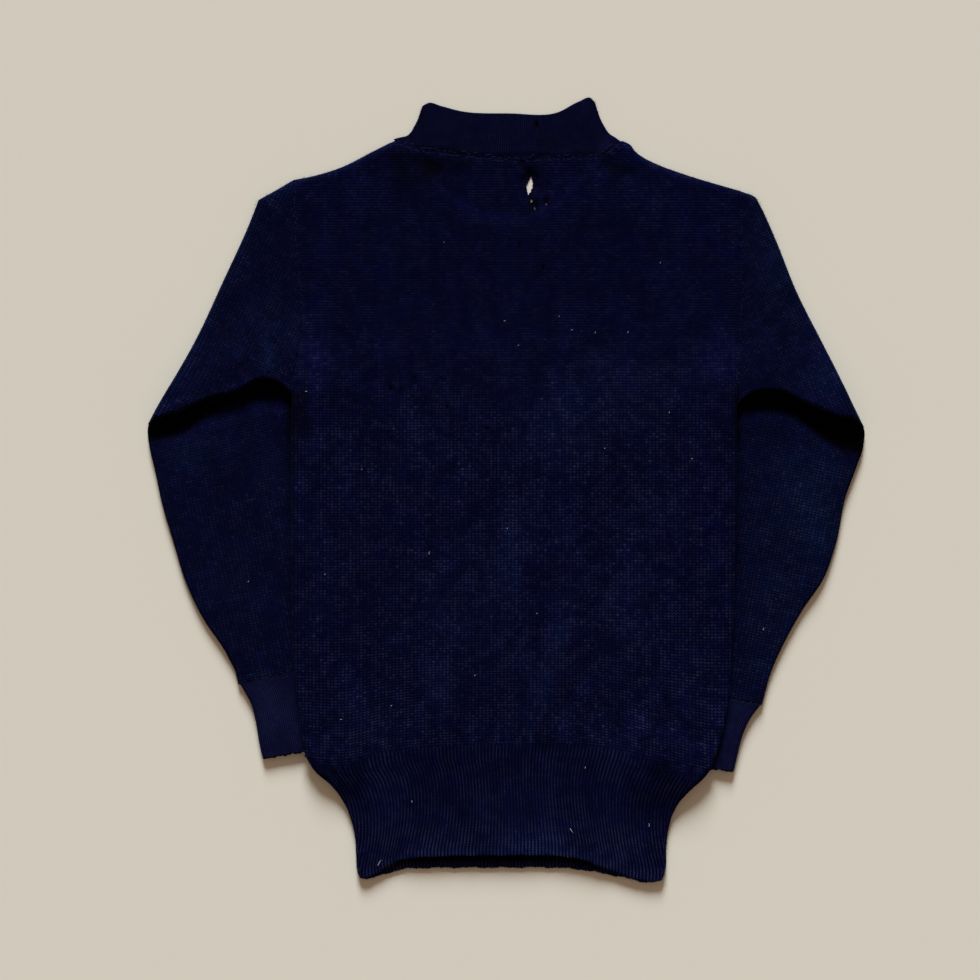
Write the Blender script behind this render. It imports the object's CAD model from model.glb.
"""The looks of a knitted pullover that lies flat with its back up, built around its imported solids.

Every piece is knitted cloth: the wales are real ridges, the stitches on them are procedural. All
tables are in millimetres, in the solids' own measures: +X across, +Y up to the collar, +Z up.
"""

import math

import bpy
import numpy as np
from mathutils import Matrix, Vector


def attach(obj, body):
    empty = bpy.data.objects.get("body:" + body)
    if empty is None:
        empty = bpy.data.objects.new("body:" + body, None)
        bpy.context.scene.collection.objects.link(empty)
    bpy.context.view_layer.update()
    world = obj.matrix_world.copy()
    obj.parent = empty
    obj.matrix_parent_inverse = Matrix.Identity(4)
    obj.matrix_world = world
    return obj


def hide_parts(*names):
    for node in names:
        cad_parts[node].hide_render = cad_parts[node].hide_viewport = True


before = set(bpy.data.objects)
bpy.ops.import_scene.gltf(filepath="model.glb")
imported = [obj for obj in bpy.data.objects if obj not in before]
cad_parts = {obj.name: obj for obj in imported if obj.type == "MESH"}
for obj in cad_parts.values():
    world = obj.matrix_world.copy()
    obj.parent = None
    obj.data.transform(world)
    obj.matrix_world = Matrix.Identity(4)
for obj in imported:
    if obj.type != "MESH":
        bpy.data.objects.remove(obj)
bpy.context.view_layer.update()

# ---------------------------------------------------------------- sizes, in millimetres
ORIGIN = np.array([-0.499, -0.192])   # from the tables' measures to the frame's
WALL = 3.0
RIB_WALL = 2.6
UPPER = 3.3
PAIR = 6.3
RIDE = 6.7
RIDE_CLEAR = 9.0
RIDE_SLOPE = 22.0
RIDE_TOP_SLOPE = 52.0
FRONT_NECK_DROP = 108.0
COLLAR_HEIGHT = 34.0    # of its front, which lies hidden
COLLAR_SAG = 2.9
WALE = 3.5            # width of a column of stitches
COURSE = 2.62         # height of a row of stitches
BODY_WALES = 124
BODY_START, BODY_STOP = -208.0, 226.0
HEM_RIBS = 90         # ribs across one layer of the hem
CUFF_RIBS = 37
COLLAR_RIBS = 88
WALE_RIDGE = 0.26     # how far a wale stands up from the furrow beside it
HEM_RIDGE = 0.6
CUFF_RIDGE = 0.09
COLLAR_RIDGE = 0.2

# ---------------------------------------------------------------- tables of the outline
BODY_SIDES = [
    ("rib seam", -194, -258, 199, -270),
    ("above the rib", -197, -240, 207, -248),
    ("cuff level", -202, -203, 214, -218),
    ("low waist", -206, -160, 219, -165),
    ("waist", -207, -100, 222, -100),
    ("chest", -208, 30, 224, 33),
    ("under the arm", -207, 83, 224, 75),
    ("armpit", -206, 106, 226, 98),
    ("low armhole", -201, 132, 228, 126),
    ("armhole", -198, 168, 230, 165),
    ("blade", -201, 208, 231, 205),
    ("high armhole", -204, 250, 231, 245),
    ("shoulder tip", -206, 301, 229, 290),
]
SHOULDER_LEFT = [
    ("tip", -206, 301), ("outer", -190, 304), ("middle", -160, 313), ("inner", -127, 329.5),
    ("beside the neck", -114, 336), ("neck", -105, 340),
]
SHOULDER_RIGHT = [
    ("neck", 107.5, 338.5), ("fill", 112, 338.8), ("bump", 120.5, 335.6), ("dip", 127.5, 326.5),
    ("inner", 140, 319.5), ("middle", 172, 307), ("outer", 208, 296), ("tip", 229, 290),
]
COLLAR_BACK = [
    ("left end", -107.5, 339.4, -81, 374), ("left corner", -98, 335, -76, 376.2),
    ("left", -80, 330.5, -63.5, 373.2), ("left quarter", -45, 326, -44, 368.3),
    ("middle", 5, 321, 4, 366), ("right quarter", 58, 323, 51, 367), ("right", 92, 325, 72, 377.4),
    ("right corner", 102, 331.5, 84, 381), ("right end", 110.5, 337.4, 87.3, 378.3),
]
COLLAR_ENDS = [
    ("seam", -107.5, 339.4, 110.5, 337.4), ("spread", -94.6, 344.8, 102.2, 344.6),
    ("middle", -87.5, 356, 94.3, 357), ("top", -81, 374, 87.3, 378.3),
]
RIB_SEAM = [
    ("left", -194, -258),
    ("left gathers", -160, -260),
    ("left quarter", -110, -251),
    ("middle", 0, -245),
    ("right quarter", 96, -248),
    ("right gathers", 150, -259),
    ("right", 199, -270),
]
HEM_SIDES = [
    ("seam", -194, -258, 199, -270), ("first", -185, -272.5, 192.5, -278.5),
    ("second", -168, -288, 180, -290), ("third", -153, -312, 166, -307),
    ("fourth", -146.5, -335, 159, -326), ("fifth", -145, -358, 156, -350),
    ("above the corner", -144.4, -370, 155.3, -371), ("edge", -141.5, -376.5, 152.3, -378.6),
]
HEM_EDGE = [
    ("left corner", -141.5, -376.5, -376.5), ("by the corner", -136, -378, -377.6),
    ("closed", -126, -376, -372.5), ("left end of the mouth", -113, -372, -365.5),
    ("left", -102, -369, -359.3), ("left quarter", -80, -367.5, -356.4), ("inner left", -50, -367, -355),
    ("middle", 0, -367, -354.5), ("inner right", 45, -367, -354.8), ("right quarter", 66, -368.2, -357),
    ("right", 80, -370, -360.5), ("right end of the mouth", 97, -373, -367.5),
    ("nearly closed", 112, -376, -373.2), ("by the corner", 146, -380.6, -380), ("right corner", 152.3, -378.6, -378.6),
]
# Where the ribs begin
RIB_START = [
    ("left", -182, -290), ("left outline", -175, -284), ("left pucker", -165, -276), ("left inner", -150, -266),
    ("left quarter", -126, -254), ("left middle", -60, -248), ("middle", 0, -244), ("right middle", 60, -246),
    ("right quarter", 105, -252), ("right inner", 140, -263), ("right outline", 165, -276), ("right", 186, -290),
]
CUFF_LEFT = [
    ("seam", -258.0, -188.0, -171.5, -168.0),
    ("upper", -246.5, -209.0, -168.0, -190.0),
    ("middle", -242.0, -227.0, -164.5, -210.0),
    ("lower", -239.0, -246.0, -161.0, -230.0),
    ("edge", -235.5, -261.5, -157.5, -248.0),
]
CUFF_RIGHT = [
    ("seam", 248.0, -208.5, 166.0, -192.2),
    ("upper", 236.5, -224.0, 158.0, -211.0),
    ("middle", 229.5, -240.0, 151.0, -228.0),
    ("lower", 225.5, -255.5, 146.0, -244.0),
    ("edge", 221.5, -274.0, 141.5, -262.5),
]
# The sleeves' hidden inner edges under the body: name, left x, left y, right x, right y
SLEEVE_INNER = [
    ("top", -194, 96, 204, 88),
    ("below the pleat", -192, 77, 201, 69),
    ("elbow", -190.5, 59, 198, 52),
    ("forearm 1", -187, 22, 192.5, 18),
    ("forearm 2", -183.5, -20, 186.5, -24),
    ("forearm 3", -180, -62, 180.5, -66),
    ("forearm 4", -176.5, -102, 175.5, -104),
    ("wrist 1", -173.5, -136, 171, -140),
    ("wrist 2", -172, -155, 167.5, -172),
    ("cuff seam", -171, -168, 165, -192),
]
# Outer edges of the upper arms, from the shoulder down to the elbow's tip
UPPER_LEFT = [
    ("tip", -206, 301), ("cap", -222, 291.5), ("cap turn", -239.8, 281.6), ("cap end", -249, 258),
    ("upper arm", -275, 201), ("above the elbow", -300, 147), ("low", -324, 104),
    ("over the tip", -338, 80), ("elbow tip", -346.5, 64),
]
UPPER_RIGHT = [
    ("tip", 229, 290), ("cap", 243, 284), ("cap turn", 251, 269.5), ("cap end", 263, 242),
    ("upper arm", 283, 192), ("above the elbow", 305, 148), ("low", 322.5, 113),
    ("over the tip", 338, 80), ("elbow tip", 347.5, 61),
]
# Outer edges of the forearms, from under the pleat down to the cuff
FOREARM_LEFT = [
    ("hidden", -331, 88), ("under the tip", -342.3, 73), ("tip", -347.4, 60), ("elbow", -346.2, 46),
    ("low elbow", -342, 27), ("forearm 1", -333, -15), ("forearm 2", -322, -52),
    ("forearm 3", -311, -88), ("forearm 4", -293, -126), ("wrist 1", -274, -154),
    ("wrist 2", -263, -174), ("cuff seam", -259.5, -189),
]
FOREARM_RIGHT = [
    ("hidden", 331, 86), ("under the tip", 342.5, 71), ("tip", 348.6, 58), ("elbow", 347.9, 45),
    ("low elbow", 342, 27), ("forearm 1", 330, -8), ("forearm 2", 321, -52),
    ("forearm 3", 309, -86), ("forearm 4", 289, -116), ("wrist 1", 270, -150),
    ("wrist 2", 258, -177), ("cuff seam", 249, -209),
]
# Edges of the elbows' pleats, from the elbow's tip to the armpit: name, x, y, height of the fold
FOLD_LEFT = [
    ("tip", -347, 63, 12), ("first", -339, 68.5, 13.5), ("second", -330, 71.5, 14.5), ("third", -320, 73.5, 15),
    ("fourth", -310, 77.5, 15), ("fifth", -301, 82.5, 14), ("sixth", -288, 88.5, 13.5),
    ("seventh", -270, 93, 14), ("eighth", -256, 97.5, 15), ("rise", -246, 104, 16), ("crest", -235, 107.5, 16),
    ("fall", -222, 105, 15), ("last", -213, 99, 13), ("armpit", -206.5, 92, 11),
]
FOLD_RIGHT = [
    ("tip", 348, 60, 12), ("first", 336, 69, 15), ("second", 325, 70, 17),
    ("third", 311, 75.5, 17), ("fourth", 297, 81.5, 15), ("fifth", 285, 86.5, 14),
    ("sixth", 270, 95, 14), ("rise", 256, 97, 15), ("crest", 243, 95.5, 15),
    ("fall", 235, 92, 14), ("last", 230, 88, 12.5), ("armpit", 225, 82, 11),
]
# Lower limits of the deep shade under the pleats
SHADE_LEFT = [
    ("elbow", -350, 47), ("tip", -335, 51.5), ("first", -318.6, 57.5), ("second", -306, 65.5),
    ("third", -288, 76.5), ("fourth", -272, 84), ("fifth", -257.5, 88), ("sixth", -238, 90.5),
    ("armpit", -206, 90.5),
]
SHADE_RIGHT = [
    ("armpit", 224, 79), ("first", 239, 79), ("second", 266, 76), ("third", 284, 72),
    ("fourth", 294, 61), ("fifth", 311, 48), ("tip", 328, 39), ("elbow", 350, 34),
]

# Soft ridges and troughs: name, first x, first y, second x, second y, half width, height
BODY_CREASES = [
    ("long diagonal ridge", 70, -100, 24, -236, 11, 1.5),
    ("its trough", 88, -150, 45, -240, 8, -1.5),
    ("short trough", 124, -192, 106, -240, 8, -1.2),
    ("short ridge", 142, -196, 128, -240, 9, 0.9),
    ("faint left ridge", -90, -150, -62, -226, 13, 1.0),
    ("faint left trough", -104, -170, -84, -232, 10, -0.7),
    ("left pucker", -150, -214, -130, -246, 8, 0.9),
    ("bulge under the right arm", 203, 96, 209, 50, 9, 1.3),
    ("hollow under the bulge", 214, 48, 213, 10, 8, -1.0),
    ("left side hollow", -196, 76, -200, 20, 9, -1.1),
    ("left side swell", -178, 90, -184, 20, 11, 0.7),
    ("left neck hollow", -100, 316, -52, 312, 9, -1.4),
    ("left shoulder hollow", -120, 312, -150, 300, 9, -0.9),
    ("right neck hollow", 100, 318, 124, 311, 8, -1.3),
    ("right shoulder swell", 128, 313, 180, 298, 8, 0.7),
    ("pucker over the hole", 17, 316, 22, 304, 4.5, -1.5),
    ("pucker beside the hole", 32, 314, 31, 300, 4, 0.8),
    ("blade hollow", -90, 180, -130, 60, 34, -0.7),
    ("blade swell", 60, 200, 110, 20, 40, 0.8),
    ("small of the back", -10, 60, 10, -90, 36, -0.7),
    ("right waist swell", 150, -20, 165, -160, 22, 0.8),
    ("left waist swell", -150, -30, -140, -170, 24, 0.7),
    ("right low hollow", 150, -225, 190, -240, 9, -1.4),
    ("left low hollow", -160, -228, -186, -238, 7, -0.9),
]
SLEEVE_CREASES = [
    ("left streak", -229, 146, -231, 116, 6, 1.6),
    ("left streak's trough", -246, 146, -248, 112, 6, -1.8),
    ("left cap ridge", -216, 268, -224, 180, 7, 0.8),
    ("left outer swell", -262, 205, -300, 130, 12, 0.7),
    ("left fold lump", -318, 82, -309, 85, 4, 1.2),
    ("left fold pucker", -262, 104, -258, 116, 4, -1.2),
    ("left elbow swell", -318, 26, -296, -70, 18, 0.8),
    ("left forearm hollow", -268, 40, -248, -90, 16, -0.8),
    ("left forearm swell", -236, 30, -228, -120, 13, 0.6),
    ("left wrist pucker", -236, -150, -232, -178, 6, -0.8),
    ("left wrist swell", -252, -150, -247, -180, 6, 0.6),
    ("right streak", 246, 150, 250, 116, 7, 1.3),
    ("right streak's trough", 262, 160, 268, 120, 8, -1.3),
    ("right cap ridge", 240, 262, 252, 170, 7, 0.8),
    ("right outer swell", 276, 196, 306, 124, 12, 0.8),
    ("right fold lump", 300, 84, 292, 87, 4, 1.0),
    ("right elbow swell", 322, 20, 300, -74, 18, 0.8),
    ("right forearm hollow", 276, 30, 258, -100, 16, -0.9),
    ("right forearm swell", 244, 40, 238, -130, 13, 0.7),
    ("right wrist pucker", 236, -168, 232, -196, 6, -0.8),
]
COLLAR_CREASES = [
    ("moth hole", 30.2, 355.5, 30.6, 352.5, 1.2, -2.4),
    ("seam's thickness, left", -84, 336, -44, 330, 3.0, 0.45),
    ("seam's thickness, middle", -40, 329, 60, 327, 3.0, 0.5),
    ("seam's thickness, right", 64, 328, 96, 332, 3.0, 0.5),
]
# Where the wool has faded or rubbed: name, x, y, half width, half height, lean in degrees, amount
FADED = [
    ("upper right", 112, 98, 62, 42, 10, 0.55),
    ("blade patch", 55, 60, 36, 44, -10, 0.5),
    ("spine streak", 2, -52, 9, 62, 2, 0.6),
    ("left belly", -62, -110, 26, 50, 4, 0.45),
    ("middle belly", -14, -100, 24, 52, -4, 0.45),
    ("diagonal ridge", 46, -168, 12, 70, -18, 0.8),
    ("right belly", 120, -128, 26, 54, 6, 0.6),
    ("right low", 182, -180, 22, 34, 0, 0.5),
    ("left low", -142, -226, 30, 30, -10, 0.5),
    ("left hip", -64, -196, 15, 30, -12, 0.5),
    ("right forearm", 288, 0, 32, 46, -14, 0.75),
    ("right elbow", 308, -46, 22, 34, -18, 0.6),
    ("left elbow", -303, 36, 28, 13, 14, 0.7),
    ("left forearm", -262, -96, 26, 40, 14, 0.4),
    ("right upper arm", 258, 212, 17, 46, 16, 0.6),
    ("right fold", 302, 106, 24, 16, -28, 0.45),
    ("left streak", -229, 128, 6, 17, 0, 0.8),
    ("left cuff", -226, -220, 26, 34, 0, 0.3),
    ("right wrist", 266, -120, 24, 56, -10, 0.55),
    ("hem left", -120, -300, 20, 40, 10, 0.35),
    ("hem middle", 40, -318, 60, 30, 0, 0.3),
    ("hem right", 112, -345, 26, 26, 0, 0.6),
    ("hem's lower middle", 20, -338, 50, 12, 0, 0.45),
    ("hem's left", -60, -335, 40, 14, 0, 0.3),
]
# Where it stays dark: the same columns
DARK = [
    ("under the collar, left", -80, 305, 34, 15, -6, 0.35),
    ("its first patch", -73, 312, 10, 10, 0, 0.5), ("its second patch", -86, 321, 13, 5, -8, 0.65),
    ("its third patch", -42, 314, 8, 7, 0, 0.5), ("its fourth patch", -102, 311, 7, 13, 0, 0.4),
    ("collar's own patch", -49, 332, 6, 6, 0, 0.45),
    ("under the collar, right", 110, 312, 20, 8, -10, 0.7),
    ("over the hole", 22, 309, 8, 9, 0, 0.75),
    ("beside the holes", 26, 277, 6, 7, 0, 0.55),
    ("right gathers", 150, -271, 13, 10, -10, 0.6),
    ("left pucker", -164.5, -273.5, 1.5, 5.5, 35, 0.75),
    ("middle gathers", 42, -243, 20, 9, 0, 0.35),
    ("left armpit", -198, 78, 9, 24, 0, 0.5),
    ("upper back", 0, 250, 190, 60, 0, 0.12),
]


# Through to the surface under the open neck: x, y pairs of each outline
HOLES = [
    [(24.9, 304.6), (25.9, 303.2), (25.5, 301.6), (26.9, 301.0), (26.2, 299.0), (27.2, 297.8),
     (26.0, 296.0), (26.6, 293.6), (24.9, 292.2), (24.8, 289.8), (23.0, 288.4), (22.2, 286.6), (21.7, 289.0),
     (20.9, 290.6), (21.2, 292.4), (19.9, 294.2), (20.8, 295.6), (20.5, 297.4), (22.1, 298.2), (22.0, 300.4),
     (23.6, 301.2), (23.5, 303.0)],
    [(23.9, 281.8), (25.5, 282.3), (26.8, 281.3), (26.3, 279.9), (24.7, 279.5)],
    [(27.7, 274.9), (28.7, 274.8), (29.3, 273.5), (28.9, 272.5), (28.0, 273.0)],
    [(38.7, 278.5), (39.9, 278.7), (40.7, 277.6), (40.0, 276.6), (38.8, 276.9)],
]
# Nips through one layer only: x, y, half width, half height
NIPS = [
    (-18.0, 60.1, 2.4, 1.5), (-56.7, 80.5, 1.3, 1.7), (-111.0, 98.9, 1.3, 1.5),
    (-101.4, 97.0, 0.9, 1.2), (-87.8, 109.6, 0.9, 1.4), (-75.2, 125.1, 0.8, 1.5),
    (-146.0, 86.3, 1.0, 1.2), (13.1, 238.6, 0.9, 2.9), (36.4, 215.3, 0.9, 1.8),
]


# ---------------------------------------------------------------- curves and surfaces
def columns_of(table, *places):
    return np.array([[row[i] for i in places] for row in table], float)


def smooth(t):
    t = np.clip(t, 0.0, 1.0)
    return t * t * (3 - 2 * t)


def shares_of(points):
    step = np.sqrt((np.diff(np.asarray(points, float), axis=0) ** 2).sum(1))
    at = np.concatenate([[0], np.cumsum(step)])
    return at / at[-1]


def curve(points, shares):
    """Points of a smooth curve through the given ones, at shares 0 to 1 of its length."""
    p = np.asarray(points, float)
    at = shares_of(p)
    slope = np.gradient(p, at, axis=0)
    shares = np.clip(np.asarray(shares, float), 0, 1)
    i = np.clip(np.searchsorted(at, shares, side="right") - 1, 0, len(at) - 2)
    h = (at[i + 1] - at[i])[:, None]
    t = ((shares - at[i]) / (at[i + 1] - at[i]))[:, None]
    return (
        (2 * t**3 - 3 * t**2 + 1) * p[i]
        + (t**3 - 2 * t**2 + t) * h * slope[i]
        + (3 * t**2 - 2 * t**3) * p[i + 1]
        + (t**3 - t**2) * h * slope[i + 1]
    )


def dense(points, count=160):
    return curve(points, np.linspace(0, 1, count))


def beside(points, distance):
    p = np.asarray(points, float)
    along = np.gradient(p, axis=0)
    along /= np.linalg.norm(along, axis=1)[:, None]
    return p + distance * np.stack([-along[:, 1], along[:, 0]], 1)


def patch(low, high, left, right, u, v):
    u, v = np.asarray(u)[None, :, None], np.asarray(v)[:, None, None]
    corners = (
        (1 - u) * (1 - v) * low[0]
        + u * (1 - v) * low[-1]
        + (1 - u) * v * high[0]
        + u * v * high[-1]
    )
    sides = (1 - u) * left[:, None] + u * right[:, None]
    return (1 - v) * low[None] + v * high[None] + sides - corners


def lay(turn, left, right, high, low, us, vs, steady=None):
    """Plan points of a piece with its columns along the wales, which lean by turn degrees. left,
    right, high and low are its edges as lines of points. Columns between the two steady places stand
    still, and only those beside an edge are drawn in with it."""
    c, s = math.cos(math.radians(turn)), math.sin(math.radians(turn))
    spin = np.array([[c, -s], [s, c]])
    left, right, high, low = (np.asarray(line, float) @ spin for line in (left, right, high, low))

    def at(line, where, place):
        order = np.argsort(line[:, place])
        return np.interp(where, line[order, place], line[order, 1 - place])

    def across(u, b):
        first, last = at(left, b, 1), at(right, b, 1)
        if steady is None:
            return (1 - u) * first + u * last
        a = steady[0] + (steady[1] - steady[0]) * u
        reach = 20 + 2 * np.abs(first - steady[0])
        a = np.where(a < first + reach, first + (a - steady[0]) * reach / (first + reach - steady[0]), a)
        reach = 20 + 2 * np.abs(last - steady[1])
        return np.where(a > last - reach, last - (steady[1] - a) * reach / (steady[1] - last + reach), a)

    ends = []
    for line in (low, high):
        b = np.full(len(us), line[:, 1].mean())
        for _ in range(60):
            b = 0.5 * b + 0.5 * at(line, across(us, b), 0)
        ends.append(b)
    b = (1 - vs[:, None]) * ends[0][None] + vs[:, None] * ends[1][None]
    a = across(us[None, :], b)
    return np.stack([a, b], 2) @ spin.T


def away(x, y, line):
    """Distance of each point from a line of points."""
    best = np.full(np.shape(x), 1e9)
    p = np.asarray(line, float)
    for (x0, y0), (x1, y1) in zip(p[:-1, :2], p[1:, :2]):
        dx, dy = x1 - x0, y1 - y0
        t = np.clip(((x - x0) * dx + (y - y0) * dy) / (dx * dx + dy * dy + 1e-12), 0, 1)
        best = np.minimum(best, (x - x0 - t * dx) ** 2 + (y - y0 - t * dy) ** 2)
    return np.sqrt(best)


def rounding(x, y, edges):
    """Share of its thickness that a piece keeps near its edges, each (line, radius, depth)."""
    kept = np.ones(np.shape(x))
    for line, radius, depth in edges:
        t = np.clip(away(x, y, line) / radius, 0, 1)
        kept = np.minimum(kept, 1 - depth * (1 - np.sqrt(1 - (1 - t) ** 2)))
    return kept


def creased(x, y, table):
    """Height of the soft ridges and troughs in a table."""
    total = np.zeros(np.shape(x))
    for _, x0, y0, x1, y1, half, height in table:
        dx, dy = x1 - x0, y1 - y0
        length = math.hypot(dx, dy)
        t = ((x - x0) * dx + (y - y0) * dy) / length**2
        off = ((x - x0) * dy - (y - y0) * dx) / length
        past = np.maximum(np.maximum(-t, t - 1), 0) * length
        bend = 0.35 * half * np.sin(6 * t + x0)
        total += height * np.exp(-(((off + bend) / half) ** 2) - (past / (1.6 * half)) ** 2)
    return total


def rolling(x, y):
    """The slight unevenness of cloth that lies at rest."""
    total = np.zeros(np.shape(x))
    for kx, ky, phase, height in (
        (0.031, 0.012, 0.3, 0.22), (-0.019, 0.037, 1.9, 0.22), (0.052, -0.027, 4.1, 0.15),
        (0.083, 0.061, 2.2, 0.10), (-0.071, 0.094, 5.0, 0.10), (0.014, -0.058, 3.3, 0.16),
        (0.121, 0.033, 0.9, 0.06), (0.027, 0.133, 2.7, 0.06),
    ):
        total += height * np.sin(kx * x + ky * y + phase)
    return total


def sleeve_reach(y, side):
    places = (1, 2) if side < 0 else (3, 4)
    cuff = CUFF_LEFT if side < 0 else CUFF_RIGHT
    rows = np.concatenate([columns_of(SLEEVE_INNER[1:], *places), columns_of(cuff[1:], 3, 4)])
    return np.interp(y, rows[::-1, 1], rows[::-1, 0])


def ride(x, y):
    """Height by which the body is lifted over the sleeves that lie under its sides."""
    total = np.zeros(np.broadcast(x, y).shape)
    for side, cuff, top in ((-1, CUFF_LEFT, 104.0), (1, CUFF_RIGHT, 98.0)):
        inner = sleeve_reach(y, side)
        near = smooth(1 - (side * (inner - x) - RIDE_CLEAR) / RIDE_SLOPE)
        above = smooth(1 - (y - top) / RIDE_TOP_SLOPE)
        edge = cuff[-1]
        line = edge[2] + (x - edge[1]) * (edge[4] - edge[2]) / (edge[3] - edge[1])
        below = smooth(1 - (line - RIDE_CLEAR - y) / (2.4 * RIDE_SLOPE))
        total = total + RIDE * near * above * below
    return total


def front_neck(u):
    left, right = np.array(SHOULDER_LEFT[-1][1:]), np.array(SHOULDER_RIGHT[0][1:])
    across = 0.5 - 0.5 * np.cos(math.pi * np.asarray(u, float))
    line = left + (right - left) * across[:, None]
    dip = np.sqrt(np.clip(1 - (2 * across - 1) ** 2, 0, 1)) ** 0.85
    line[:, 1] -= FRONT_NECK_DROP * dip
    return line


def sag(x, y):
    opening = 254.0 + 100.0 * (np.abs(x - 2.0) / 110.0) ** 2.2
    return COLLAR_SAG * smooth((y - opening) / 18.0)


def blobs(x, y, table):
    total = np.zeros(np.shape(x))
    for _, x0, y0, half_x, half_y, lean, amount in table:
        c, s = math.cos(math.radians(lean)), math.sin(math.radians(lean))
        a, b = (x - x0) * c + (y - y0) * s, -(x - x0) * s + (y - y0) * c
        wobble = 1 + 0.25 * np.sin(0.11 * x + 0.07 * y + x0) + 0.2 * np.sin(0.19 * y - 0.05 * x + y0)
        total += amount * np.exp(-(((a / half_x) ** 2 + (b / half_y) ** 2) * wobble) ** 1.2)
    return total


chance = np.random.default_rng(7)
WALE_LOT = 1 + 0.15 * chance.standard_normal(4000)


def wale_ridge(w, sharp=2.5):
    """Height of a wale's rounded back, 0 in the furrow and 1 in its middle."""
    t = w - np.floor(w)
    return (1 - np.abs(2 * t - 1) ** sharp) * WALE_LOT[np.floor(w + 1500).astype(int) % 4000]


# ---------------------------------------------------------------- meshes
class Cloth:
    """Points, knit coordinates and faces of one object, added part by part."""

    def __init__(self):
        self.points, self.knit, self.faces, self.count = [], [], [], 0

    def put(self, points, knit):
        points = np.asarray(points, float).reshape(-1, 3)
        first = self.count
        self.points.append(points)
        self.knit.append(np.asarray(knit, float).reshape(-1, 2))
        self.count += len(points)
        return np.arange(first, first + len(points))

    def net(self, at, wrap=False, back=False):
        """Four-sided faces of a grid of point numbers."""
        nxt = np.roll(at, -1, axis=1) if wrap else at[:, 1:]
        this = at if wrap else at[:, :-1]
        f = np.stack([this[:-1], nxt[:-1], nxt[1:], this[1:]], -1).reshape(-1, 4)
        self.faces += (f[:, ::-1] if back else f).tolist()

    def zip(self, top, top_at, low, low_at, back=False):
        """Triangles between two closed rims, each with its points' places along it."""
        top, low = list(top) + [top[0]], list(low) + [low[0]]
        top_at, low_at = list(top_at) + [4.0], list(low_at) + [4.0]
        i = j = 0
        while i < len(top) - 1 or j < len(low) - 1:
            if j == len(low) - 1 or (i < len(top) - 1 and top_at[i + 1] <= low_at[j + 1]):
                f = [top[i], low[j], top[i + 1]]
                i += 1
            else:
                f = [top[i], low[j], low[j + 1]]
                j += 1
            self.faces.append([int(k) for k in (f[::-1] if back else f)])

    def build(self, name, material, turns=None, traits=None, recast=None):
        """The object. turns is the number of wales right round a tube, traits gives the shares of
        faded, dark and crisp that its points have besides the blobs, recast picks the faces that
        are plain knit in a ribbed piece."""
        points = np.concatenate(self.points)
        points[:, 2] = np.maximum(points[:, 2], 0.02)
        knit = np.concatenate(self.knit)
        x, y = points[:, 0], points[:, 1]
        placed = (points + [ORIGIN[0], ORIGIN[1], 0]) * 0.001
        mesh = bpy.data.meshes.new(name)
        mesh.from_pydata(placed.tolist(), [], self.faces)
        mesh.update()
        corner = np.empty(len(mesh.loops), np.int32)
        mesh.loops.foreach_get("vertex_index", corner)
        uv = knit[corner]
        if turns:
            sizes = np.empty(len(mesh.polygons), np.int32)
            mesh.polygons.foreach_get("loop_total", sizes)
            owner = np.repeat(np.arange(len(sizes)), sizes)
            most = np.full(len(sizes), -1e9)
            np.maximum.at(most, owner, uv[:, 0])
            far = most[owner] - uv[:, 0] > turns / 2
            uv[far, 0] += turns
        if recast:
            sizes = np.empty(len(mesh.polygons), np.int32)
            mesh.polygons.foreach_get("loop_total", sizes)
            centre = np.empty(3 * len(sizes))
            mesh.polygons.foreach_get("center", centre)
            centre = centre.reshape(-1, 3) * 1000 - [ORIGIN[0], ORIGIN[1], 0]
            plain_knit = recast(centre[:, 0], centre[:, 1])
            other = plain_knit[np.repeat(np.arange(len(sizes)), sizes)]
            knit_x, knit_y = body_knit(x[corner], y[corner], None)
            uv[other] = np.stack([knit_x, knit_y], 1)[other]
        layer = mesh.uv_layers.new(name="knit")
        layer.data.foreach_set("uv", uv.astype(np.float32).ravel())
        more = traits(x, y, points[:, 2]) if traits else {}
        for label, values in (
            ("faded", blobs(x, y, FADED) + more.get("faded", 0)),
            ("dark", 1 - (1 - np.clip(blobs(x, y, DARK), 0, 1)) * (1 - more.get("dark", 0 * x))),
            ("crisp", more.get("crisp", 0.7 + 0 * x)),
        ):
            extra = mesh.attributes.new(label, "FLOAT", "POINT")
            extra.data.foreach_set("value", np.clip(values, 0, 1).astype(np.float32))
        mesh.shade_smooth()
        mesh.set_sharp_from_angle(angle=math.radians(62))
        mesh.materials.append(material)
        if recast:
            mesh.materials.append(body_wool)
            mesh.polygons.foreach_set("material_index", plain_knit.astype(np.int32))
        made = bpy.data.objects.new(name, mesh)
        bpy.context.scene.collection.objects.link(made)
        return made


def rim_of(at, us, vs):
    loop = np.concatenate([at[0, :-1], at[:-1, -1], at[-1, :0:-1], at[:0:-1, 0]])
    places = np.concatenate(
        [us[:-1], 1 + vs[:-1], 2 + (1 - us[:0:-1]), 3 + (1 - vs[:0:-1])]
    )
    return loop, places


def area_of(plan):
    a, b = plan[1:, 1:] - plan[:-1, :-1], plan[1:, :-1] - plan[:-1, 1:]
    return float(np.abs(a[..., 0] * b[..., 1] - a[..., 1] * b[..., 0]).sum() / 2)


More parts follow.
